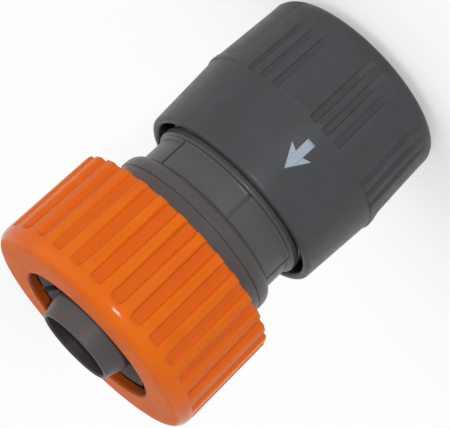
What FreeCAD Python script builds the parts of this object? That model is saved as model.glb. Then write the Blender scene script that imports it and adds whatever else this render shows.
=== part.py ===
import FreeCAD, Part
import math
import os

# Garden hose quick connector, in millimetres. It stands on its socket end at
# z = 0, and the hose tail points up along +Z. The sleeve's arrow faces -Y.

V = FreeCAD.Vector

# Hose side of the body
HOSE_END_Z = 57.5
TAIL_TIP_R = 6.05
BARB_R = 6.95
BARB_ROOT_R = 6.35
BARB_PITCH = 3.2
BARB_COUNT = 4
WATERWAY_R = 5.5
WATERWAY_BOTTOM_Z = 32.6
CUP_FLOOR_Z = 41.0
CUP_R = 11.3
HUB_TOP_Z = 45.0
HUB_R = 14.3

# Waist between the nut and the sleeve
FLANGE_R = 13.75
FLANGE_STEP = 0.18
FLANGE_STEP_Z = 35.3
FLANGE_ROUND_Z = 34.7
WAIST_TOP_Z = 32.6
WAIST_R = 12.43
WAIST_GROOVE_COUNT = 6
WAIST_GROOVE_WIDTH = 0.5
WAIST_GROOVE_DEPTH = 0.35
COLLAR_TOP_Z = 28.0
COLLAR_BOTTOM_Z = 26.8

# Socket side of the body
BARREL_R = 11.25
COLLAR_WIDTH = 1.8
COLLAR_R = BARREL_R + COLLAR_WIDTH
SOCKET_R = 8.6
SOCKET_DEPTH = 18.0
SOCKET_LEAD = 0.8
MOUTH_R = 8.8
MOUTH_TOP_Z = 5.9
SEAL_BORE_R = 8.2
SEAL_BORE_Z = 10.9
THROAT_R = 7.2
BARREL_END_R = 10.1
SNAP_BEAD_R = 10.3
SNAP_BEAD_Z = 0.65
RING_TOP_Z = 2.0
RING_WIDTH = 1.07
RING_R = BARREL_R + RING_WIDTH

# Coarse thread between hub and nut
THREAD_PITCH = 3.0
THREAD_DEPTH = 0.85
THREAD_CREST = 0.9
THREAD_FLANK = 0.588
THREAD_GAP = 0.15
THREAD_BOTTOM_Z = 38.5

# Nut
NUT_FACE_Z = 55.2
NUT_MOUTH_R = 11.4
NUT_WALL = 2.85
NUT_R = HUB_R + THREAD_GAP + THREAD_DEPTH + NUT_WALL
NUT_CORNER_WIDTH = 2.55
NUT_FACE_R = NUT_R - NUT_CORNER_WIDTH
NUT_WIDEST_Z = 53.1
NUT_TAPER = 0.3
NUT_REAR_R = NUT_R - NUT_TAPER
NUT_REAR_Z = 38.06
NUT_LIP = 1.4
NUT_CATCH = 0.6
FLUTE_COUNT = 30
FLUTE_FLOOR_WIDTH = 1.5
FLUTE_WALL_SLOPE = 0.65
FLUTE_DEPTH = 0.6
FLUTE_REAR_DEPTH = 0.85
FLUTE_TOP_Z = 52.9
FLUTE_RUN_OUT = 0.9
FLUTE_PHASE = -92.1

# Collet that grips the hose
COLLET_RIM = 0.7
COLLET_FLANGE_R = HUB_R + COLLET_RIM
COLLET_FLANGE_TOP_Z = 46.4
COLLET_TIP_Z = 53.6
COLLET_TIP_R = 12.1
NUT_CONE_TOP_GAP = 0.25
NUT_CONE_TOP_R = COLLET_TIP_R + NUT_CONE_TOP_GAP
COLLET_FUNNEL_R = 10.1
COLLET_LEDGE = 0.55
COLLET_BASE_R = COLLET_FLANGE_R - COLLET_LEDGE
NUT_CONE_BOTTOM_GAP = 0.3
NUT_CONE_BOTTOM_R = COLLET_BASE_R + NUT_CONE_BOTTOM_GAP
COLLET_INNER_R = 11.9
COLLET_TOOTH = 0.55
COLLET_FINGERS = 6
COLLET_SLOT = 1.2
COLLET_PHASE = -12.6

# Claws that lock the plugged-in nose
CLAW_COUNT = 4
CLAW_TIP_R = 7.35
CLAW_STROKE = 1.3
CLAW_WIDTH = 5.6
CLAW_BOTTOM_Z = 6.8
CLAW_TOP_Z = 9.8
CLAW_HEAD_WIDTH = 7.0
CLAW_HEAD_BOTTOM_Z = 6.3
CLAW_HEAD_TOP_Z = 10.0
CLAW_HEAD_HEIGHT = 1.25
CLAW_HEAD_R = BARREL_R + CLAW_HEAD_HEIGHT
CLAW_NOSE_DROP = 0.4
CLAW_NOSE_R = CLAW_HEAD_R - CLAW_NOSE_DROP

# Return spring
SPRING_WIRE_R = 0.55
SPRING_CLEARANCE = 0.55
SPRING_R = BARREL_R + SPRING_CLEARANCE + SPRING_WIRE_R
SPRING_TURNS = 6.0
SPRING_END_TURNS = 1.0

# Release sleeve. Its walls stand outside the spring's chamber
SLEEVE_STROKE = 4.0
CHAMBER_CLEARANCE = 1.2
CHAMBER_R = SPRING_R + SPRING_WIRE_R + CHAMBER_CLEARANCE
SLEEVE_REAR_Z = 27.3
SLEEVE_REAR_WALL = 1.2
SLEEVE_REAR_R = CHAMBER_R + SLEEVE_REAR_WALL
SLEEVE_BAND_WALL = 1.83
SLEEVE_BAND_R = CHAMBER_R + SLEEVE_BAND_WALL
SLEEVE_FRONT_Z = 0.95
SLEEVE_FRONT_ROUND_Z = 3.4
SLEEVE_FRONT_LIP = 0.78
SLEEVE_FRONT_R = RING_R + SLEEVE_FRONT_LIP
GRIP_TOP_Z = 15.4
GRIP_TOP_WALL = 2.05
GRIP_TOP_R = CHAMBER_R + GRIP_TOP_WALL
GRIP_BOTTOM_WALL = 1.35
GRIP_BOTTOM_R = CHAMBER_R + GRIP_BOTTOM_WALL
SPRING_SEAT_Z = 12.0
GUIDE_BOTTOM_Z = 10.4
BEAD_TOP_Z = 3.6
GROOVE_FLOOR_WIDTH = 1.0
GROOVE_WALL_SLOPE = 0.4
GROOVE_DEPTH = 0.45
GROOVE_BOTTOM_Z = 3.2
GROOVE_RUN_OUT = 3.0
GROOVE_STEP_DEG = 8.6
GROOVE_GROUP_DEG = 43.0
GROOVE_PHASE = -90.9
RECESS_HALF_WIDTH = 6.6
RECESS_TOP_Z = 14.4
RECESS_CORNER_R = 2.3
PAD_AXIS_X = 5.2
PAD_DEPTH = 0.12

# Gap between parts that slide or turn on each other
RUNNING_GAP = 0.08

# How far a cutter reaches past the surface that it cuts
CUTTER_REACH = 3.0


def line(start, end):
    """Straight edge between two (r, z) points."""
    return Part.makeLine(V(start[0], 0, start[1]), V(end[0], 0, end[1]))


def soft(start, corner, end):
    """Rounded corner as a curve drawn towards the corner point."""
    curve = Part.BezierCurve()
    curve.setPoles([V(point[0], 0, point[1]) for point in (start, corner, end)])
    return curve.toShape()


def revolved(steps):
    """Solid of revolution about Z. A step is a point, or a (corner, end) pair for a soft corner."""
    edges = []
    first = steps[0]
    current = first
    for step in steps[1:] + [first]:
        if isinstance(step[0], tuple):
            corner, end = step
            edges.append(soft(current, corner, end))
        else:
            end = step
            if end != current:
                edges.append(line(current, end))
        current = end
    face = Part.Face(Part.Wire(edges))
    return face.revolve(V(0, 0, 0), V(0, 0, 1), 360)


def ring(inner, outer, bottom, top):
    """Plain ring between two radii and two heights."""
    return revolved([(inner, bottom), (outer, bottom), (outer, top), (inner, top)])


def turned(shape, degrees):
    """Copy of a shape turned about Z."""
    copy = shape.copy()
    copy.rotate(V(0, 0, 0), V(0, 0, 1), degrees)
    return copy


def round_about(shape, count, phase=0.0):
    """Compound of copies spaced evenly about Z."""
    return Part.makeCompound([turned(shape, phase + 360.0 / count * i) for i in range(count)])


def block(x0, x1, half_width, z0, z1):
    """Box that reaches out along +X and is centred on y = 0."""
    return Part.makeBox(x1 - x0, 2 * half_width, z1 - z0, V(x0, -half_width, z0))


def channel(floor, outside, half_floor, wall_slope):
    """Cutter along +X over a floor of (r, z) points, with walls that lean outward."""
    sections = []
    for floor_r, z in floor:
        half_top = half_floor + (outside - floor_r) * wall_slope
        corners = [
            V(floor_r, -half_floor, z),
            V(outside, -half_top, z),
            V(outside, half_top, z),
            V(floor_r, half_floor, z),
        ]
        sections.append(Part.makePolygon(corners + corners[:1]))
    return Part.makeLoft(sections, True, True)


def helical_ridge(base_r, crest_r, base_width, crest_width, bottom, top):
    """Solid ridge that winds up a cylinder. It is rooted in the material at base_r."""
    outward = 1.0 if crest_r > base_r else -1.0
    root_r = base_r - outward * 0.3
    root_width = base_width + 0.6 * THREAD_FLANK
    section = [
        V(root_r, 0, bottom - root_width / 2),
        V(crest_r, 0, bottom - crest_width / 2),
        V(crest_r, 0, bottom + crest_width / 2),
        V(root_r, 0, bottom + root_width / 2),
    ]
    outline = Part.makePolygon(section + section[:1])
    helix = Part.makeHelix(THREAD_PITCH, top - bottom, base_r)
    helix.translate(V(0, 0, bottom))
    return Part.Wire(helix).makePipeShell([outline], True, True)


def barbs():
    """Points of the tail's outside, from the tip down to the cup."""
    points = []
    lead_length = 3.0
    crest_z = HOSE_END_Z - lead_length
    for _ in range(BARB_COUNT):
        points.append((BARB_R, crest_z))
        points.append((BARB_R, crest_z - 0.45))
        points.append((BARB_ROOT_R, crest_z - 0.6))
        crest_z -= BARB_PITCH
    points.pop()
    points.append((BARB_ROOT_R, points[-1][1] - 0.15))
    return points


def body():
    """One moulding: hose tail, threaded hub, flange, waist, collar and socket barrel."""
    tip_lead = 0.25
    shell = revolved(
        [(WATERWAY_R + tip_lead, HOSE_END_Z), (TAIL_TIP_R - 0.15, HOSE_END_Z)]
        + [((TAIL_TIP_R, HOSE_END_Z), (TAIL_TIP_R + 0.1, HOSE_END_Z - 0.5))]
        + barbs()
        + [
            (BARB_ROOT_R, CUP_FLOOR_Z + 0.5),
            ((BARB_ROOT_R, CUP_FLOOR_Z), (BARB_ROOT_R + 0.5, CUP_FLOOR_Z)),
            (CUP_R - 0.5, CUP_FLOOR_Z),
            ((CUP_R, CUP_FLOOR_Z), (CUP_R, CUP_FLOOR_Z + 0.5)),
            (CUP_R, HUB_TOP_Z),
            (HUB_R, HUB_TOP_Z),
            (HUB_R, THREAD_BOTTOM_Z),
            (FLANGE_R - FLANGE_STEP, THREAD_BOTTOM_Z - 0.6),
            (FLANGE_R - FLANGE_STEP, FLANGE_STEP_Z),
            (FLANGE_R, FLANGE_STEP_Z - 0.2),
            (FLANGE_R, FLANGE_ROUND_Z),
            ((FLANGE_R, WAIST_TOP_Z + 0.3), (WAIST_R, WAIST_TOP_Z)),
            (WAIST_R, COLLAR_TOP_Z + 0.4),
            ((WAIST_R, COLLAR_TOP_Z), (COLLAR_R - 0.3, COLLAR_TOP_Z)),
            ((COLLAR_R, COLLAR_TOP_Z), (COLLAR_R, COLLAR_TOP_Z - 0.35)),
            (COLLAR_R, COLLAR_BOTTOM_Z),
            (BARREL_R, COLLAR_BOTTOM_Z),
            (BARREL_R, RING_TOP_Z),
            (BARREL_END_R, RING_TOP_Z),
            (BARREL_END_R, SNAP_BEAD_Z),
            (SNAP_BEAD_R, SNAP_BEAD_Z),
            (SNAP_BEAD_R - 0.2, 0.0),
            (MOUTH_R + SOCKET_LEAD, 0.0),
            (MOUTH_R, SOCKET_LEAD * 1.5),
            (MOUTH_R, MOUTH_TOP_Z),
            (SOCKET_R, MOUTH_TOP_Z + 0.2),
            (SOCKET_R, SEAL_BORE_Z - 0.6),
            (SEAL_BORE_R, SEAL_BORE_Z),
            (SEAL_BORE_R, SOCKET_DEPTH),
            (THROAT_R, SOCKET_DEPTH + 0.6),
            (THROAT_R, COLLAR_BOTTOM_Z),
            (WATERWAY_R, WATERWAY_BOTTOM_Z),
            (WATERWAY_R, HOSE_END_Z - tip_lead),
        ]
    )
    shell = shell.fuse(body_thread())
    shell = shell.fuse(key_ribs())
    shell = shell.cut(waist_grooves())
    return shell.cut(claw_windows())


def body_thread():
    """External thread of the hub, cut to length with chamfered ends."""
    crest_r = HUB_R + THREAD_DEPTH
    base_width = THREAD_CREST + 2 * THREAD_DEPTH * THREAD_FLANK
    ridge = helical_ridge(
        HUB_R, crest_r, base_width, THREAD_CREST, THREAD_BOTTOM_Z - 3.0, HUB_TOP_Z + 3.0
    )
    zone = revolved(
        [
            (HUB_R - 1.0, THREAD_BOTTOM_Z + 0.1),
            (HUB_R - 0.3, THREAD_BOTTOM_Z + 0.1),
            (crest_r + 0.2, THREAD_BOTTOM_Z + 0.8),
            (crest_r + 0.2, HUB_TOP_Z - NUT_CATCH - 0.95),
            (HUB_R - 0.3, HUB_TOP_Z - NUT_CATCH - 0.15),
            (HUB_R - 1.0, HUB_TOP_Z - NUT_CATCH - 0.15),
        ]
    )
    return ridge.common(zone)


def key_ribs():
    """Short ribs under the windows that keep the sleeve from turning."""
    rib_top_z = CLAW_HEAD_BOTTOM_Z - 0.3
    rib = block(BARREL_R - 0.5, RING_R + 1.0, rib_half_width(), RING_TOP_Z + 0.1, rib_top_z)
    rib = rib.common(ring(BARREL_R - 0.4, RING_R - 0.12, 0.0, SOCKET_DEPTH))
    return round_about(rib, CLAW_COUNT)


def rib_half_width():
    return CLAW_HEAD_WIDTH / 2 + 0.12


def waist_grooves():
    """Narrow grooves along the waist, from the flange down to the collar."""
    groove = block(
        WAIST_R - WAIST_GROOVE_DEPTH,
        FLANGE_R + CUTTER_REACH,
        WAIST_GROOVE_WIDTH / 2,
        COLLAR_TOP_Z + 0.1,
        WAIST_TOP_Z + 0.5,
    )
    return round_about(groove, WAIST_GROOVE_COUNT, -90.0 + 0.7)


def claw_windows():
    """Openings through the barrel that the claws slide in."""
    window = block(
        SOCKET_R - CUTTER_REACH,
        BARREL_R + CUTTER_REACH,
        CLAW_WIDTH / 2 + RUNNING_GAP,
        CLAW_BOTTOM_Z - RUNNING_GAP,
        CLAW_TOP_Z + RUNNING_GAP,
    )
    return round_about(window, CLAW_COUNT)


def nut():
    """Clamp nut with a soft front corner, flutes, inner cone and coarse thread."""
    groove_r = COLLET_FLANGE_R + RUNNING_GAP
    groove_top_z = COLLET_FLANGE_TOP_Z + 0.15
    minor_r = HUB_R + THREAD_GAP
    major_r = minor_r + THREAD_DEPTH
    shell = revolved(
        [
            (NUT_MOUTH_R, NUT_FACE_Z - NUT_LIP),
            (NUT_MOUTH_R, NUT_FACE_Z - 0.25),
            ((NUT_MOUTH_R, NUT_FACE_Z), (NUT_MOUTH_R + 0.3, NUT_FACE_Z)),
            (NUT_FACE_R, NUT_FACE_Z),
            ((NUT_R - 0.05, NUT_FACE_Z), (NUT_R, NUT_WIDEST_Z)),
            (NUT_REAR_R, NUT_REAR_Z + 0.4),
            ((NUT_REAR_R, NUT_REAR_Z), (NUT_REAR_R - 0.4, NUT_REAR_Z)),
            (major_r + 0.7, NUT_REAR_Z),
            (major_r, NUT_REAR_Z + 0.7),
            (major_r, HUB_TOP_Z - NUT_CATCH),
            (minor_r, HUB_TOP_Z - NUT_CATCH),
            (minor_r, HUB_TOP_Z + 0.02),
            (groove_r, HUB_TOP_Z + 0.02),
            (groove_r, groove_top_z),
            (NUT_CONE_BOTTOM_R, groove_top_z),
            (NUT_CONE_TOP_R, NUT_FACE_Z - NUT_LIP),
        ]
    )
    shell = shell.fuse(nut_thread(minor_r, major_r))
    return shell.cut(round_about(flute(), FLUTE_COUNT, FLUTE_PHASE))


def nut_thread(minor_r, major_r):
    """Internal thread that runs half a pitch out of step with the hub's ridge."""
    gap_at_crest = THREAD_PITCH - THREAD_CREST
    crest_width = gap_at_crest - 2 * THREAD_GAP - 2 * (THREAD_DEPTH - THREAD_GAP) * THREAD_FLANK
    base_width = crest_width + 2 * THREAD_DEPTH * THREAD_FLANK
    start_z = THREAD_BOTTOM_Z - 3.0 - THREAD_PITCH / 2
    ridge = helical_ridge(major_r, minor_r, base_width, crest_width, start_z, HUB_TOP_Z + 3.0)
    zone = revolved(
        [
            (minor_r - 0.1, NUT_REAR_Z + 1.5),
            (major_r + 0.5, NUT_REAR_Z + 0.9),
            (major_r + 0.9, NUT_REAR_Z + 0.9),
            (major_r + 0.9, HUB_TOP_Z - NUT_CATCH - 0.15),
            (minor_r - 0.1, HUB_TOP_Z - NUT_CATCH - 0.15),
        ]
    )
    return ridge.common(zone)


def flute():
    """Cutter for one flute, open at the nut's rear and run out to the surface at its front."""
    outside = NUT_R + 0.5
    return channel(
        [
            (NUT_REAR_R - FLUTE_REAR_DEPTH, NUT_REAR_Z - 1.0),
            (NUT_R - FLUTE_DEPTH, FLUTE_TOP_Z - FLUTE_RUN_OUT),
            (NUT_R, FLUTE_TOP_Z),
        ],
        outside,
        FLUTE_FLOOR_WIDTH / 2,
        FLUTE_WALL_SLOPE,
    )


def collet():
    """Slotted ring whose toothed fingers the nut's cone presses on the hose."""
    tooth_count = 3
    tooth_pitch = 2.0
    tooth_z = COLLET_TIP_Z - 2.4
    inner = []
    for i in range(tooth_count):
        z = tooth_z - i * tooth_pitch
        root_r = COLLET_FUNNEL_R + COLLET_TOOTH + i * 0.35
        inner.append((root_r - COLLET_TOOTH, z))
        inner.append((root_r, z - 0.3))
        inner.append((root_r + 0.2, z - tooth_pitch + 0.9))
    shell = revolved(
        [
            (COLLET_FUNNEL_R, COLLET_TIP_Z - 1.3),
            (COLLET_TIP_R - 0.8, COLLET_TIP_Z),
            (COLLET_TIP_R, COLLET_TIP_Z),
            (COLLET_BASE_R, COLLET_FLANGE_TOP_Z + 0.3),
            (COLLET_BASE_R, COLLET_FLANGE_TOP_Z),
            (COLLET_FLANGE_R, COLLET_FLANGE_TOP_Z),
            (COLLET_FLANGE_R, HUB_TOP_Z + 0.5),
            (COLLET_FLANGE_R - 0.4, HUB_TOP_Z + 0.1),
            (HUB_R - 0.1, HUB_TOP_Z + 0.1),
            (HUB_R - 0.1, HUB_TOP_Z),
            (COLLET_INNER_R, HUB_TOP_Z),
            (COLLET_INNER_R, COLLET_FLANGE_TOP_Z - 0.4),
        ]
        + inner[::-1]
    )
    slot = block(
        COLLET_FUNNEL_R - CUTTER_REACH,
        COLLET_BASE_R + CUTTER_REACH,
        COLLET_SLOT / 2,
        COLLET_FLANGE_TOP_Z + 0.5,
        COLLET_TIP_Z + CUTTER_REACH,
    )
    return shell.cut(round_about(slot, COLLET_FINGERS, COLLET_PHASE))


def claw():
    """Locking claw: a stem through the window and a wide head under the sleeve's cone."""
    under_r = BARREL_R + RUNNING_GAP
    nose_z = CLAW_HEAD_TOP_Z - (CLAW_HEAD_R - CLAW_NOSE_R) * SLEEVE_STROKE / CLAW_STROKE
    ramp = 1.5
    stem = revolved(
        [
            (CLAW_TIP_R, CLAW_TOP_Z),
            (CLAW_TIP_R, CLAW_BOTTOM_Z + ramp),
            (CLAW_TIP_R + ramp, CLAW_BOTTOM_Z),
            (under_r + 0.3, CLAW_BOTTOM_Z),
            (under_r + 0.3, CLAW_TOP_Z),
        ]
    )
    stem = stem.common(block(0, CLAW_HEAD_R, CLAW_WIDTH / 2, 0, SOCKET_DEPTH))
    head = revolved(
        [
            (under_r, CLAW_HEAD_BOTTOM_Z),
            (CLAW_HEAD_R - 0.3, CLAW_HEAD_BOTTOM_Z),
            (CLAW_HEAD_R, CLAW_HEAD_BOTTOM_Z + 0.3),
            (CLAW_HEAD_R, nose_z),
            (CLAW_NOSE_R, CLAW_HEAD_TOP_Z),
            (under_r, CLAW_HEAD_TOP_Z),
        ]
    )
    head = head.common(block(0, CLAW_HEAD_R + 1, CLAW_HEAD_WIDTH / 2, 0, SOCKET_DEPTH))
    return head.fuse(stem).removeSplitter()


def front_ring():
    """Ring snapped on the barrel's end. The sleeve rests on it."""
    return revolved(
        [
            (BARREL_END_R, SNAP_BEAD_Z),
            (RING_R - 0.3, SNAP_BEAD_Z),
            (RING_R, SNAP_BEAD_Z + 0.3),
            (RING_R, RING_TOP_Z),
            (BARREL_END_R, RING_TOP_Z),
        ]
    )


def sleeve():
    """Release sleeve with a smooth band, a grip with grooves and two finger recesses."""
    guide_r = BARREL_R + RUNNING_GAP
    slope = CLAW_STROKE / SLEEVE_STROKE
    cone_top_r = CLAW_NOSE_R + RUNNING_GAP
    cone_top_z = CLAW_HEAD_TOP_Z
    pocket_r = CLAW_HEAD_R + CLAW_STROKE + RUNNING_GAP
    cone_bottom_z = cone_top_z - (pocket_r - cone_top_r) / slope
    shell = revolved(
        [
            (RING_R + RUNNING_GAP, SLEEVE_FRONT_Z),
            (SLEEVE_FRONT_R, SLEEVE_FRONT_Z),
            ((GRIP_BOTTOM_R - 0.1, SLEEVE_FRONT_Z), (GRIP_BOTTOM_R, SLEEVE_FRONT_ROUND_Z)),
            (GRIP_TOP_R, GRIP_TOP_Z - 0.25),
            ((GRIP_TOP_R, GRIP_TOP_Z), (SLEEVE_BAND_R, GRIP_TOP_Z)),
            (SLEEVE_REAR_R, SLEEVE_REAR_Z - 0.7),
            ((SLEEVE_REAR_R, SLEEVE_REAR_Z), (SLEEVE_REAR_R - 0.6, SLEEVE_REAR_Z)),
            (CHAMBER_R + 0.3, SLEEVE_REAR_Z),
            (CHAMBER_R, SLEEVE_REAR_Z - 0.3),
            (CHAMBER_R, SPRING_SEAT_Z),
            (guide_r, SPRING_SEAT_Z),
            (guide_r, GUIDE_BOTTOM_Z),
            (cone_top_r, GUIDE_BOTTOM_Z),
            (cone_top_r, cone_top_z),
            (pocket_r, cone_bottom_z),
            (pocket_r, BEAD_TOP_Z),
            (guide_r, BEAD_TOP_Z),
            (guide_r, RING_TOP_Z),
            (RING_R + RUNNING_GAP, RING_TOP_Z),
        ]
    )
    shell = shell.cut(bead_slots(pocket_r))
    shell = shell.cut(grip_grooves())
    return shell.cut(finger_recesses())


def bead_slots(pocket_r):
    """Slots in the inner bead that pass the claws and run on the key ribs."""
    half_width = rib_half_width() + RUNNING_GAP
    slot = block(0, pocket_r + 1, half_width, RING_TOP_Z, BEAD_TOP_Z + 0.5)
    slot = slot.common(ring(SOCKET_R, pocket_r, 0.0, SOCKET_DEPTH))
    return round_about(slot, CLAW_COUNT)


def grip_radius(z):
    """Radius of the grip's slightly tapered side at a height."""
    share = (z - SLEEVE_FRONT_ROUND_Z) / (GRIP_TOP_Z - SLEEVE_FRONT_ROUND_Z)
    return GRIP_BOTTOM_R + (GRIP_TOP_R - GRIP_BOTTOM_R) * share


def grip_grooves():
    """Groups of three grooves on the front and back of the grip."""
    full_depth_z = GROOVE_BOTTOM_Z + GROOVE_RUN_OUT
    groove = channel(
        [
            (grip_radius(GROOVE_BOTTOM_Z), GROOVE_BOTTOM_Z),
            (grip_radius(full_depth_z) - GROOVE_DEPTH, full_depth_z),
            (GRIP_TOP_R - GROOVE_DEPTH, GRIP_TOP_Z),
        ],
        GRIP_TOP_R + 0.5,
        GROOVE_FLOOR_WIDTH / 2,
        GROOVE_WALL_SLOPE,
    )
    cutters = []
    for face in (GROOVE_PHASE, GROOVE_PHASE + 180.0):
        for group in (-1, 0, 1):
            for step in (-1, 0, 1):
                angle = face + group * GROOVE_GROUP_DEG + step * GROOVE_STEP_DEG
                cutters.append(turned(groove, angle))
    return Part.makeCompound(cutters)


def finger_recesses():
    """Recesses on the grip's two sides, deep at their edges, with a convex pad between."""
    outside = GRIP_TOP_R + CUTTER_REACH
    window = block(SOCKET_R, outside, RECESS_HALF_WIDTH, -CUTTER_REACH, RECESS_TOP_Z)
    corners = [edge for edge in window.Edges if is_top_corner(edge)]
    window = window.makeFillet(RECESS_CORNER_R, corners)
    pad_top_r = GRIP_TOP_R - PAD_DEPTH - PAD_AXIS_X
    pad_bottom_r = GRIP_BOTTOM_R - PAD_DEPTH - PAD_AXIS_X
    pad = revolved(
        [
            (0, -CUTTER_REACH - 1.0),
            (pad_bottom_r, -CUTTER_REACH - 1.0),
            (pad_bottom_r, SLEEVE_FRONT_ROUND_Z),
            (pad_top_r, GRIP_TOP_Z),
            (0, GRIP_TOP_Z),
        ]
    )
    pad.translate(V(PAD_AXIS_X, 0, 0))
    return round_about(window.cut(pad), 2)


def is_top_corner(edge):
    """True for the two edges along X at the top of the recess window."""
    box = edge.BoundBox
    return box.XLength > 1.0 and box.ZMin > RECESS_TOP_Z - 0.01


def spring():
    """Coil spring with closed ends ground flat between collar and sleeve."""
    low = SPRING_SEAT_Z
    high = COLLAR_BOTTOM_Z
    closed_pitch = 2 * SPRING_WIRE_R + 0.04
    start_z = low + SPRING_WIRE_R * 0.5
    end_z = high - SPRING_WIRE_R * 0.5
    open_turns = SPRING_TURNS - 2 * SPRING_END_TURNS
    open_rise = end_z - start_z - 2 * SPRING_END_TURNS * closed_pitch
    steps_per_turn = 12
    total_steps = int(SPRING_TURNS * steps_per_turn)
    points = []
    for i in range(total_steps + 1):
        turn = SPRING_TURNS * i / total_steps
        z = start_z + coil_rise(turn, open_turns, open_rise, closed_pitch)
        angle = 2 * math.pi * turn
        points.append(V(SPRING_R * math.cos(angle), SPRING_R * math.sin(angle), z))
    curve = Part.BSplineCurve()
    curve.interpolate(points)
    path = Part.Wire(curve.toShape())
    section = Part.Wire(Part.makeCircle(SPRING_WIRE_R, points[0], points[1] - points[0]))
    coil = path.makePipeShell([section], True, True)
    return coil.common(ring(SPRING_R - 3.0, SPRING_R + 3.0, low, high))


def coil_rise(turn, open_turns, open_rise, closed_pitch):
    """Height gained after a number of turns: closed, open, then closed again."""
    first = min(turn, SPRING_END_TURNS)
    middle = min(max(turn - SPRING_END_TURNS, 0.0), open_turns)
    last = max(turn - SPRING_END_TURNS - open_turns, 0.0)
    return (first + last) * closed_pitch + middle * open_rise / open_turns


def write(name, shape):
    shape.exportStep("parts/" + name + ".step")


os.makedirs("parts", exist_ok=True)
write("body", body())
write("nut", nut())
write("collet", collet())
write("front_ring", front_ring())
write("sleeve", sleeve())
write("spring", spring())
for number in range(CLAW_COUNT):
    write("claw_" + str(number + 1), turned(claw(), 360.0 / CLAW_COUNT * number))
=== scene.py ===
import math

import bpy
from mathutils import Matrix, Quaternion, Vector


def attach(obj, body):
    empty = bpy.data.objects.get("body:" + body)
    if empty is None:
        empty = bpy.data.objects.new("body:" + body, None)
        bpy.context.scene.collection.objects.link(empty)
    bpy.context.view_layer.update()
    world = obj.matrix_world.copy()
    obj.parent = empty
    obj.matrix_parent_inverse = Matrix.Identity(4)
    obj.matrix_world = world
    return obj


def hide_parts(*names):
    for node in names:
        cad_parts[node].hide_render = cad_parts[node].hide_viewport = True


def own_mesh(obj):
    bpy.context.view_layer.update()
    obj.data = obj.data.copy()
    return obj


# Garden hose quick connector, dressed and lit as in the photograph. Lengths are in metres.

MM = 0.001

# Camera, fitted to the photograph
CAMERA_AIM = Vector((-1.01, -0.13, 29.06)) * MM
CAMERA_DISTANCE = 308.25 * MM
CAMERA_AZIMUTH = 7.6
CAMERA_ELEVATION = 15.06
CAMERA_ROLL = -133.57
CAMERA_LENS = 176.0
CAMERA_NEAREST = 10 * MM

# Light
AMBIENT = 0.5
KEY_AZIMUTH = 4.5
KEY_ELEVATION = 8.0
KEY_SPREAD = 4.0
KEY_STRENGTH = 1.35
FILL_AZIMUTH = 75.0
FILL_ELEVATION = 30.0
FILL_SPREAD = 70.0
FILL_STRENGTH = 0.6
FLOOR_COLOUR = 0.9
FLOOR_GLOW = 0.4
FLOOR_SIZE = 3.0
FLOOR_DROP = 0.02 * MM

# Plastics, each as its plain, clouded and lighter edge colour (partly wear, partly painted highlight) from
# 0 to 255 on a screen
# The body's colours are warmed with painted orange bounce light from the nut; its waist keeps a cooler
# grey
BODY_COLOURS = ((86, 80, 79), (78, 73, 72), (104, 99, 98))
SLEEVE_COLOURS = ((70, 72, 75), (64, 66, 68), (92, 94, 96))
NUT_COLOURS = ((229, 107, 10), (222, 99, 8), (238, 126, 40))
CLAW_COLOURS = ((214, 213, 206), (204, 202, 194), (222, 221, 216))

# Other colours, from 0 to 255 on a screen
# The body's cooler grey on the waist, below the painted bounce light
WAIST_COLOUR = (81, 80, 83)
# Painted shade: darker reddish brown inside the water way
WATERWAY_SHADE_COLOUR = (55, 44, 43)
# Painted shade: darker orange on the floors and walls of the nut's flutes
FLUTE_SHADE_COLOUR = (215, 93, 12)
# Painted shade on the inner wall of the nut's mouth
NUT_MOUTH_SHADE_COLOUR = (158, 68, 12)
WIRE_COLOUR = (150, 149, 146)
TARNISH_COLOUR = (118, 116, 112)
INK_COLOUR = (157, 170, 181)
THIN_INK_COLOUR = (148, 161, 173)

# Middle range of a noise value, where nearly all of it lies
NOISE_LOW = 0.3
NOISE_HIGH = 0.7

# Rounded edges. The cosine is that of the angle between the rounded and the plain surface
BEVEL_SAMPLES = 6
EDGE_START_COSINE = 0.995
EDGE_FULL_COSINE = 0.90
FINE_EDGE_R = 0.05 * MM

# Skin of the plastics: size of its clouds, of the worn and highlighted patches on edges, of its ripples
# and grain, and how strong they are
PIGMENT_SIZE = 5.0 * MM
SATIN_SIZE = 1.6 * MM
SATIN_SMOOTHER = 0.05
SATIN_ROUGHER = 0.06
# Patches on rounded edges painted lighter: partly wear, partly a painted edge highlight
EDGE_WEAR_AND_HIGHLIGHT_SIZE = 1.5 * MM
EDGE_WEAR_AND_HIGHLIGHT_LEAST = 0.1
EDGE_WEAR_AND_HIGHLIGHT_MOST = 0.6
RIPPLE_SIZE = 2.4 * MM
RIPPLE_HEIGHT = 0.02 * MM
GRAIN_SIZE = 0.16 * MM
GRAIN_HEIGHT = 0.006 * MM

# Skin of the spring's wire and of the ink
TARNISH_SIZE = 1.2 * MM
WIRE_SATIN_SIZE = 0.5 * MM
WIRE_SMOOTHEST = 0.35
WIRE_ROUGHEST = 0.55
DRAWN_LINE_SIZE = 0.12 * MM
DRAWN_LINE_STRETCH = (0.2, 0.2, 3.0)
INK_CLOUD_SIZE = 0.5 * MM
INK_SATIN_SIZE = 0.3 * MM
INK_SMOOTHEST = 0.5
INK_ROUGHEST = 0.65
INK_GRAIN_SIZE = 0.1 * MM
FINE_GRAIN_HEIGHT = 0.004 * MM

# Outside of the nut, from its rear edge to its widest ring below the rounded front corner
NUT_REAR_Z = 38.06 * MM
NUT_REAR_R = 17.85 * MM
NUT_WIDEST_Z = 53.1 * MM
NUT_R = 18.15 * MM
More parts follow.
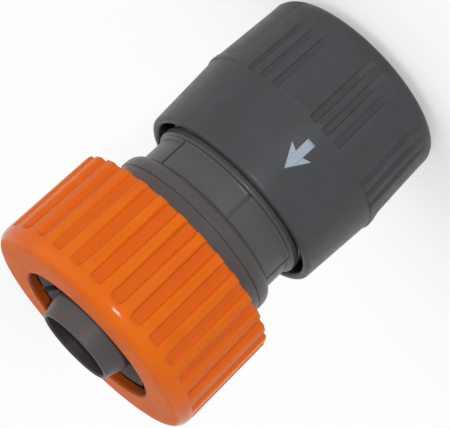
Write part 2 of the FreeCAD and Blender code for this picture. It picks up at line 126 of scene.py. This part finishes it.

# Places where painted shade darkens the nut's flutes and mouth, where its skin is polished or matt, and by
# how much
FLUTE_TOP_Z = 52.9 * MM
# Painted shade in the flutes: where it is full, the depths where it starts and is full, and how strong it
# is
FLUTE_SHADE_FULL_Z = FLUTE_TOP_Z - 0.8 * MM
FLUTE_SHADE_START_DEPTH = 0.05 * MM
FLUTE_SHADE_FULL_DEPTH = 0.6 * MM
FLUTE_SHADE_STRENGTH = 0.75
NUT_MOUTH_R = 11.4 * MM
# Painted shade on the mouth's inner wall, from where it starts to where it is full
MOUTH_SHADE_START_R = NUT_MOUTH_R + 0.45 * MM
MOUTH_SHADE_FULL_R = NUT_MOUTH_R + 0.1 * MM
POLISH_START_Z = FLUTE_TOP_Z - 0.5 * MM
POLISH_FULL_Z = FLUTE_TOP_Z + 0.3 * MM
POLISH_ROUGHNESS = -0.1
NUT_FACE_Z = 55.2 * MM
MATT_START_Z = NUT_FACE_Z - 0.7 * MM
MATT_FULL_Z = NUT_FACE_Z - 0.2 * MM
MATT_ROUGHNESS = 0.4

# Places where the body's colour carries painted bounce light and painted shade, where its skin is rougher,
# and by how much
WAIST_TOP_Z = 32.6 * MM
BOUNCE_FADE_START_Z = WAIST_TOP_Z + 2.0 * MM
WATERWAY_R = 5.5 * MM
# Where the water way's painted shade and its matter skin start and are full
BORE_SHADE_AND_MATT_START_R = WATERWAY_R + 0.3 * MM
BORE_SHADE_AND_MATT_FULL_R = WATERWAY_R + 0.05 * MM
BORE_ROUGHNESS = 0.2

# Return spring between the sleeve's seat and the body's collar
SPRING_LOW_Z = 12.0 * MM
SPRING_HIGH_Z = 26.8 * MM
SPRING_R = 12.35 * MM
SPRING_WIRE_R = 0.55 * MM
SPRING_TURNS = 6
SPRING_CLOSED_TURNS = 1
SPRING_CLOSED_GAP = 0.04 * MM
SPRING_STEPS_PER_TURN = 60
SPRING_WIRE_SIDES = 14

# Printed arrow on the sleeve. It points along +Z to the nut
SLEEVE_BAND_R = 15.93 * MM
SLEEVE_REAR_R = 15.30 * MM
SLEEVE_BAND_BOTTOM_Z = 15.4 * MM
SLEEVE_BAND_TOP_Z = 26.6 * MM
ARROW_TAIL_Z = 17.6 * MM
ARROW_BARB_Z = 19.5 * MM
ARROW_NECK_Z = 20.0 * MM
ARROW_TIP_Z = 22.9 * MM
ARROW_HALF_WIDTH = 1.95 * MM
ARROW_SHAFT_HALF_WIDTH = 0.69 * MM
ARROW_AZIMUTH = -90.0
ARROW_HEIGHT = 0.012 * MM
ARROW_THICKNESS = 0.03 * MM
ARROW_COLUMNS = 10
ARROW_ROWS = 8


def srgb(screen_colour):
    """Linear colour of red, green and blue from 0 to 255 as they look on a screen."""
    linear = []
    for value in screen_colour:
        share = value / 255
        linear.append(share / 12.92 if share <= 0.04045 else ((share + 0.055) / 1.055) ** 2.4)
    return (*linear, 1.0)


def towards(azimuth, elevation):
    """Unit vector to a light or camera. Azimuth 0 is on the -Y side, 90 on the +X side."""
    turn = math.radians(azimuth)
    rise = math.radians(elevation)
    return Vector((math.sin(turn) * math.cos(rise), -math.cos(turn) * math.cos(rise), math.sin(rise)))


def new_material(name):
    """New material with its shader tree and the surface in it."""
    material = bpy.data.materials.new(name)
    material.use_nodes = True
    tree = material.node_tree
    return material, tree, tree.nodes["Principled BSDF"]


def add_node(tree, kind, **settings):
    """New shader node with plain attributes set."""
    node = tree.nodes.new(kind)
    for name, value in settings.items():
        setattr(node, name, value)
    return node


def math_node(tree, operation, first, second):
    """Math node of two inputs, each a socket or a number."""
    node = add_node(tree, "ShaderNodeMath", operation=operation)
    for socket, value in zip(node.inputs, (first, second)):
        if isinstance(value, (int, float)):
            socket.default_value = value
        else:
            tree.links.new(value, socket)
    return node.outputs[0]


def seen_rays(tree):
    """1 for rays that show the background itself: camera, glossy and transmission rays."""
    path = add_node(tree, "ShaderNodeLightPath")
    seen = math_node(tree, "MAXIMUM", path.outputs["Is Camera Ray"], path.outputs["Is Glossy Ray"])
    return math_node(tree, "MAXIMUM", seen, path.outputs["Is Transmission Ray"])


def noise(tree, size, detail=2.0, stretch=(1.0, 1.0, 1.0)):
    """Noise value whose blobs are about the given size, fixed to the piece."""
    place = add_node(tree, "ShaderNodeTexCoord")
    mapping = add_node(tree, "ShaderNodeMapping")
    mapping.inputs["Scale"].default_value = stretch
    texture = add_node(tree, "ShaderNodeTexNoise")
    texture.inputs["Scale"].default_value = 1 / size
    texture.inputs["Detail"].default_value = detail
    tree.links.new(place.outputs["Object"], mapping.inputs["Vector"])
    tree.links.new(mapping.outputs["Vector"], texture.inputs["Vector"])
    return texture.outputs["Fac"]


def fade(tree, value, start, end, low=0.0, high=1.0):
    """Value from start to end taken to low..high and held there outside that range."""
    ramp = add_node(tree, "ShaderNodeMapRange")
    ramp.inputs["From Min"].default_value = start
    ramp.inputs["From Max"].default_value = end
    ramp.inputs["To Min"].default_value = low
    ramp.inputs["To Max"].default_value = high
    tree.links.new(value, ramp.inputs["Value"])
    return ramp.outputs["Result"]


def spread(tree, value, low=0.0, high=1.0):
    """Noise value stretched from its middle range to low..high."""
    return fade(tree, value, NOISE_LOW, NOISE_HIGH, low, high)


def axis_place(tree):
    """Distance from the connector's axis, and height along it."""
    place = add_node(tree, "ShaderNodeTexCoord")
    flat = add_node(tree, "ShaderNodeVectorMath", operation="MULTIPLY")
    flat.inputs[1].default_value = (1.0, 1.0, 0.0)
    tree.links.new(place.outputs["Object"], flat.inputs[0])
    distance = add_node(tree, "ShaderNodeVectorMath", operation="LENGTH")
    tree.links.new(flat.outputs["Vector"], distance.inputs[0])
    split = add_node(tree, "ShaderNodeSeparateXYZ")
    tree.links.new(place.outputs["Object"], split.inputs["Vector"])
    return distance.outputs["Value"], split.outputs["Z"]


def mix_colour(tree, factor, first, second):
    """Mix of two colours. Each is a socket or a linear colour."""
    node = add_node(tree, "ShaderNodeMix", data_type="RGBA")
    tree.links.new(factor, node.inputs["Factor"])
    for socket, value in ((node.inputs[6], first), (node.inputs[7], second)):
        if isinstance(value, tuple):
            socket.default_value = value
        else:
            tree.links.new(value, socket)
    return node.outputs[2]


def clouds(tree, size, detail, plain, clouded):
    """Colour that drifts between two screen colours in clouds of about the given size."""
    return mix_colour(tree, spread(tree, noise(tree, size, detail)), srgb(plain), srgb(clouded))


def rounded_normal(tree, radius):
    """Normal that rounds sharp edges, and a mask that is 1 on those edges."""
    bevel = add_node(tree, "ShaderNodeBevel", samples=BEVEL_SAMPLES)
    bevel.inputs["Radius"].default_value = radius
    geometry = add_node(tree, "ShaderNodeNewGeometry")
    cosine = add_node(tree, "ShaderNodeVectorMath", operation="DOT_PRODUCT")
    tree.links.new(bevel.outputs["Normal"], cosine.inputs[0])
    tree.links.new(geometry.outputs["Normal"], cosine.inputs[1])
    edge = fade(tree, cosine.outputs["Value"], EDGE_START_COSINE, EDGE_FULL_COSINE)
    return bevel.outputs["Normal"], edge


def bump(tree, height, distance, normal):
    """Bumped normal from a height value."""
    node = add_node(tree, "ShaderNodeBump")
    node.inputs["Strength"].default_value = 1.0
    node.inputs["Distance"].default_value = distance
    tree.links.new(height, node.inputs["Height"])
    tree.links.new(normal, node.inputs["Normal"])
    return node.outputs["Normal"]


def nut_zones(tree, base):
    """Painted shade in the flutes and the mouth, a polished front corner and a matt front face."""
    distance, height = axis_place(tree)
    skin = fade(tree, height, NUT_REAR_Z, NUT_WIDEST_Z, NUT_REAR_R, NUT_R)
    depth = math_node(tree, "SUBTRACT", skin, distance)
    # Painted shade in the flutes, stronger the further the surface lies below the skin
    flute_shade_share = fade(tree, depth, FLUTE_SHADE_START_DEPTH, FLUTE_SHADE_FULL_DEPTH, 0.0, FLUTE_SHADE_STRENGTH)
    below_corner = fade(tree, height, FLUTE_TOP_Z, FLUTE_SHADE_FULL_Z)
    flute_shade = math_node(tree, "MULTIPLY", flute_shade_share, below_corner)
    base = mix_colour(tree, flute_shade, base, srgb(FLUTE_SHADE_COLOUR))
    # Painted shade on the inner wall of the mouth
    mouth_shade = fade(tree, distance, MOUTH_SHADE_START_R, MOUTH_SHADE_FULL_R)
    base = mix_colour(tree, mouth_shade, base, srgb(NUT_MOUTH_SHADE_COLOUR))
    polish = fade(tree, height, POLISH_START_Z, POLISH_FULL_Z, 0.0, POLISH_ROUGHNESS)
    matt = fade(tree, height, MATT_START_Z, MATT_FULL_Z, 0.0, MATT_ROUGHNESS)
    return base, math_node(tree, "ADD", polish, matt)


def body_zones(tree, base):
    """Body warmed with painted orange bounce light above the cooler waist, and a matt water way darkened
    with painted shade.
    """
    distance, height = axis_place(tree)
    # Painted orange bounce light on the body above the waist, fading out towards it
    below_painted_bounce = fade(tree, height, BOUNCE_FADE_START_Z, WAIST_TOP_Z)
    base = mix_colour(tree, below_painted_bounce, base, srgb(WAIST_COLOUR))
    # Painted shade inside the water way, which also gets a matter skin
    in_bore = fade(tree, distance, BORE_SHADE_AND_MATT_START_R, BORE_SHADE_AND_MATT_FULL_R)
    base = mix_colour(tree, in_bore, base, srgb(WATERWAY_SHADE_COLOUR))
    return base, math_node(tree, "MULTIPLY", in_bore, BORE_ROUGHNESS)


def plastic(name, colours, roughness, edge_radius, gloss, zones=None):
    """Moulded plastic: cloudy pigment, satin skin with fine grain, and lighter edges that are partly worn
    and partly a painted highlight.

    zones paints shade, and on the body also orange bounce light, into parts of the base colour and says
    how much rougher the skin is there.
    """
    plain, clouded, worn_and_highlit = colours
    material, tree, surface = new_material(name)
    normal, edge = rounded_normal(tree, edge_radius)

    base = clouds(tree, PIGMENT_SIZE, 3.0, plain, clouded)
    satin_noise = noise(tree, SATIN_SIZE, detail=4.0)
    satin = spread(tree, satin_noise, roughness - SATIN_SMOOTHER, roughness + SATIN_ROUGHER)
    if zones:
        base, rougher = zones(tree, base)
        satin = math_node(tree, "ADD", satin, rougher)
    # Lighter colour in patches on rounded edges: partly real wear, partly a painted edge highlight
    rub_and_highlight = spread(tree, noise(tree, EDGE_WEAR_AND_HIGHLIGHT_SIZE, detail=4.0), EDGE_WEAR_AND_HIGHLIGHT_LEAST, EDGE_WEAR_AND_HIGHLIGHT_MOST)
    wear_and_highlight = math_node(tree, "MULTIPLY", edge, rub_and_highlight)
    tree.links.new(mix_colour(tree, wear_and_highlight, base, srgb(worn_and_highlit)), surface.inputs["Base Color"])
    tree.links.new(satin, surface.inputs["Roughness"])

    ripple = bump(tree, noise(tree, RIPPLE_SIZE, detail=1.0), RIPPLE_HEIGHT, normal)
    grain = bump(tree, noise(tree, GRAIN_SIZE), GRAIN_HEIGHT, ripple)
    tree.links.new(grain, surface.inputs["Normal"])
    surface.inputs["Specular IOR Level"].default_value = gloss
    return material


def spring_wire():
    """Drawn stainless wire with fine lines and a little tarnish."""
    material, tree, surface = new_material("spring_wire")
    surface.inputs["Metallic"].default_value = 1.0
    colour = clouds(tree, TARNISH_SIZE, 4.0, WIRE_COLOUR, TARNISH_COLOUR)
    tree.links.new(colour, surface.inputs["Base Color"])
    satin = spread(tree, noise(tree, WIRE_SATIN_SIZE), WIRE_SMOOTHEST, WIRE_ROUGHEST)
    tree.links.new(satin, surface.inputs["Roughness"])
    normal, _ = rounded_normal(tree, FINE_EDGE_R)
    lines = noise(tree, DRAWN_LINE_SIZE, stretch=DRAWN_LINE_STRETCH)
    tree.links.new(bump(tree, lines, FINE_GRAIN_HEIGHT, normal), surface.inputs["Normal"])
    return material


def printed_ink():
    """Pale matt ink with slightly uneven cover."""
    material, tree, surface = new_material("printed_ink")
    colour = clouds(tree, INK_CLOUD_SIZE, 4.0, INK_COLOUR, THIN_INK_COLOUR)
    tree.links.new(colour, surface.inputs["Base Color"])
    satin = spread(tree, noise(tree, INK_SATIN_SIZE), INK_SMOOTHEST, INK_ROUGHEST)
    tree.links.new(satin, surface.inputs["Roughness"])
    normal, _ = rounded_normal(tree, FINE_EDGE_R)
    grain = noise(tree, INK_GRAIN_SIZE)
    tree.links.new(bump(tree, grain, FINE_GRAIN_HEIGHT, normal), surface.inputs["Normal"])
    return material


def floor_material():
    """Pale floor that shows as white and keeps the object's shadow."""
    material, tree, surface = new_material("pale_floor")
    tree.nodes.remove(surface)
    diffuse = add_node(tree, "ShaderNodeBsdfDiffuse")
    diffuse.inputs["Color"].default_value = (FLOOR_COLOUR, FLOOR_COLOUR, FLOOR_COLOUR, 1.0)
    glow = add_node(tree, "ShaderNodeEmission")
    tree.links.new(math_node(tree, "MULTIPLY", seen_rays(tree), FLOOR_GLOW), glow.inputs["Strength"])
    both = add_node(tree, "ShaderNodeAddShader")
    tree.links.new(diffuse.outputs["BSDF"], both.inputs[0])
    tree.links.new(glow.outputs["Emission"], both.inputs[1])
    tree.links.new(both.outputs["Shader"], tree.nodes["Material Output"].inputs["Surface"])
    return material


def add_to_scene(name, data):
    """New object of a mesh, camera or lamp."""
    thing = bpy.data.objects.new(name, data)
    bpy.context.scene.collection.objects.link(thing)
    return thing


def mesh_object(name, points, faces):
    """New mesh object from points and faces."""
    mesh = bpy.data.meshes.new(name)
    mesh.from_pydata(points, [], faces)
    mesh.update()
    return add_to_scene(name, mesh)


def dress(node, material):
    """Gives a CAD node its material."""
    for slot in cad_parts[node].material_slots:
        slot.material = material


def make_camera():
    """Camera at the photograph's angle, rolled so that the connector lies across the frame."""
    camera = add_to_scene("camera", bpy.data.cameras.new("camera"))
    direction = towards(CAMERA_AZIMUTH, CAMERA_ELEVATION)
    camera.data.lens = CAMERA_LENS
    camera.data.clip_start = CAMERA_NEAREST
    camera.location = CAMERA_AIM + direction * CAMERA_DISTANCE
    camera.rotation_mode = "QUATERNION"
    roll = Quaternion((0, 0, 1), math.radians(CAMERA_ROLL))
    camera.rotation_quaternion = direction.to_track_quat("Z", "Y") @ roll
    bpy.context.scene.camera = camera


def make_sun(name, azimuth, elevation, spread_angle, strength):
    """Lamp far away on one side. A wider spread gives softer shadows."""
    lamp = bpy.data.lights.new(name, "SUN")
    lamp.energy = strength
    lamp.angle = math.radians(spread_angle)
    sun = add_to_scene(name, lamp)
    sun.rotation_mode = "QUATERNION"
    sun.rotation_quaternion = towards(azimuth, elevation).to_track_quat("Z", "Y")


def make_world():
    """Even studio light from all round, seen as a white background."""
    world = bpy.data.worlds.new("studio")
    bpy.context.scene.world = world
    world.use_nodes = True
    tree = world.node_tree
    background = tree.nodes["Background"]
    background.inputs["Color"].default_value = (1.0, 1.0, 1.0, 1.0)
    extra = math_node(tree, "MULTIPLY", seen_rays(tree), 1.0 - AMBIENT)
    tree.links.new(math_node(tree, "ADD", extra, AMBIENT), background.inputs["Strength"])


def make_floor():
    """Square floor, a hair below the connector's socket end."""
    half = FLOOR_SIZE / 2
    corners = [(-half, -half), (half, -half), (half, half), (-half, half)]
    floor = mesh_object("floor", [(x, y, -FLOOR_DROP) for x, y in corners], [(0, 1, 2, 3)])
    floor.data.materials.append(floor_material())


def coil_height(turn):
    """Height of the wire after a number of turns, with closed turns at both ends and open ones between."""
    start = SPRING_LOW_Z + SPRING_WIRE_R / 2
    end = SPRING_HIGH_Z - SPRING_WIRE_R / 2
    closed_pitch = 2 * SPRING_WIRE_R + SPRING_CLOSED_GAP
    open_turns = SPRING_TURNS - 2 * SPRING_CLOSED_TURNS
    open_pitch = (end - start - 2 * SPRING_CLOSED_TURNS * closed_pitch) / open_turns
    opened = min(max(turn - SPRING_CLOSED_TURNS, 0), open_turns)
    return start + (turn - opened) * closed_pitch + opened * open_pitch


def make_spring(material):
    """Coil of round wire with ends ground flat, made at one length; the real spring shortens as the sleeve
    is pulled back.
    """
    sides = SPRING_WIRE_SIDES
    steps = SPRING_STEPS_PER_TURN * SPRING_TURNS
    points = []
    for step in range(steps + 1):
        turn = SPRING_TURNS * step / steps
        angle = 2 * math.pi * turn
        for side in range(sides):
            around = 2 * math.pi * side / sides
            radius = SPRING_R + SPRING_WIRE_R * math.cos(around)
            z = coil_height(turn) + SPRING_WIRE_R * math.sin(around)
            z = min(max(z, SPRING_LOW_Z), SPRING_HIGH_Z)
            points.append((radius * math.cos(angle), radius * math.sin(angle), z))
    faces = [tuple(range(sides)), tuple(reversed(range(steps * sides, (steps + 1) * sides)))]
    for step in range(steps):
        for side in range(sides):
            first = step * sides + side
            second = step * sides + (side + 1) % sides
            faces.append((first, first + sides, second + sides, second))
    coil = mesh_object("return_spring", points, faces)
    coil.data.materials.append(material)
    coil.data.shade_smooth()
    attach(coil, "connector")
    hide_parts("spring")
    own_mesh(coil)


def band_radius(z):
    """Radius of the sleeve's smooth band at a height."""
    share = (z - SLEEVE_BAND_BOTTOM_Z) / (SLEEVE_BAND_TOP_Z - SLEEVE_BAND_BOTTOM_Z)
    return SLEEVE_BAND_R + (SLEEVE_REAR_R - SLEEVE_BAND_R) * share


def arrow_columns():
    """(offset, low z, high z) of the arrow's outline, from its left barb to its right one."""
    right = []
    for i in range(ARROW_COLUMNS + 1):
        offset = ARROW_SHAFT_HALF_WIDTH * i / ARROW_COLUMNS
        right.append((offset, ARROW_TAIL_Z))
    for i in range(ARROW_COLUMNS + 1):
        share = i / ARROW_COLUMNS
        offset = ARROW_SHAFT_HALF_WIDTH + (ARROW_HALF_WIDTH - ARROW_SHAFT_HALF_WIDTH) * share
        right.append((offset, ARROW_NECK_Z + (ARROW_BARB_Z - ARROW_NECK_Z) * share))
    columns = []
    for offset, low in right:
        high = ARROW_TIP_Z + (ARROW_BARB_Z - ARROW_TIP_Z) * offset / ARROW_HALF_WIDTH
        columns.append((offset, low, high))
    return [(-offset, low, high) for offset, low, high in columns[:0:-1]] + columns


def make_arrow(material):
    """Arrow printed on the sleeve's front, wrapped on its slightly tapered band."""
    points = []
    columns = arrow_columns()
    for offset, low, high in columns:
        for row in range(ARROW_ROWS + 1):
            z = low + (high - low) * row / ARROW_ROWS
            radius = band_radius(z) + ARROW_HEIGHT
            angle = math.radians(ARROW_AZIMUTH) + offset / radius
            points.append((radius * math.cos(angle), radius * math.sin(angle), z))
    faces = []
    for column in range(len(columns) - 1):
        for row in range(ARROW_ROWS):
            first = column * (ARROW_ROWS + 1) + row
            faces.append((first, first + ARROW_ROWS + 1, first + ARROW_ROWS + 2, first + 1))
    arrow = mesh_object("arrow_print", points, faces)
    arrow.data.materials.append(material)
    arrow.data.shade_smooth()
    thick = arrow.modifiers.new("thickness", "SOLIDIFY")
    thick.thickness = ARROW_THICKNESS
    thick.offset = -1.0
    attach(arrow, "release_sleeve")


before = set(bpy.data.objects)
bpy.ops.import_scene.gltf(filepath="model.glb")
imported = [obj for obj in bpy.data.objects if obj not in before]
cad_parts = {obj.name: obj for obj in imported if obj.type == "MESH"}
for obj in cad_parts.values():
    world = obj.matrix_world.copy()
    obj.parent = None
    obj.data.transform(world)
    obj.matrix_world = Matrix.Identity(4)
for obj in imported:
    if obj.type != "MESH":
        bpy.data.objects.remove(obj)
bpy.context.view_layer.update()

body_plastic = plastic(
    "body_plastic", BODY_COLOURS, roughness=0.36, edge_radius=0.15 * MM, gloss=0.25, zones=body_zones
)
sleeve_plastic = plastic(
    "sleeve_plastic", SLEEVE_COLOURS, roughness=0.38, edge_radius=0.45 * MM, gloss=0.18
)
nut_plastic = plastic(
    "nut_plastic", NUT_COLOURS, roughness=0.25, edge_radius=0.55 * MM, gloss=0.15, zones=nut_zones
)
claw_plastic = plastic(
    "claw_plastic", CLAW_COLOURS, roughness=0.38, edge_radius=0.12 * MM, gloss=0.25
)

dress("body", body_plastic)
dress("collet", body_plastic)
dress("front_ring", body_plastic)
dress("sleeve", sleeve_plastic)
dress("nut", nut_plastic)
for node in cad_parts:
    if node.startswith("claw_"):
        dress(node, claw_plastic)

make_spring(spring_wire())
make_arrow(printed_ink())
make_floor()
make_world()
make_sun("key", KEY_AZIMUTH, KEY_ELEVATION, KEY_SPREAD, KEY_STRENGTH)
make_sun("fill", FILL_AZIMUTH, FILL_ELEVATION, FILL_SPREAD, FILL_STRENGTH)
make_camera()
bpy.context.scene.view_settings.view_transform = "Standard"
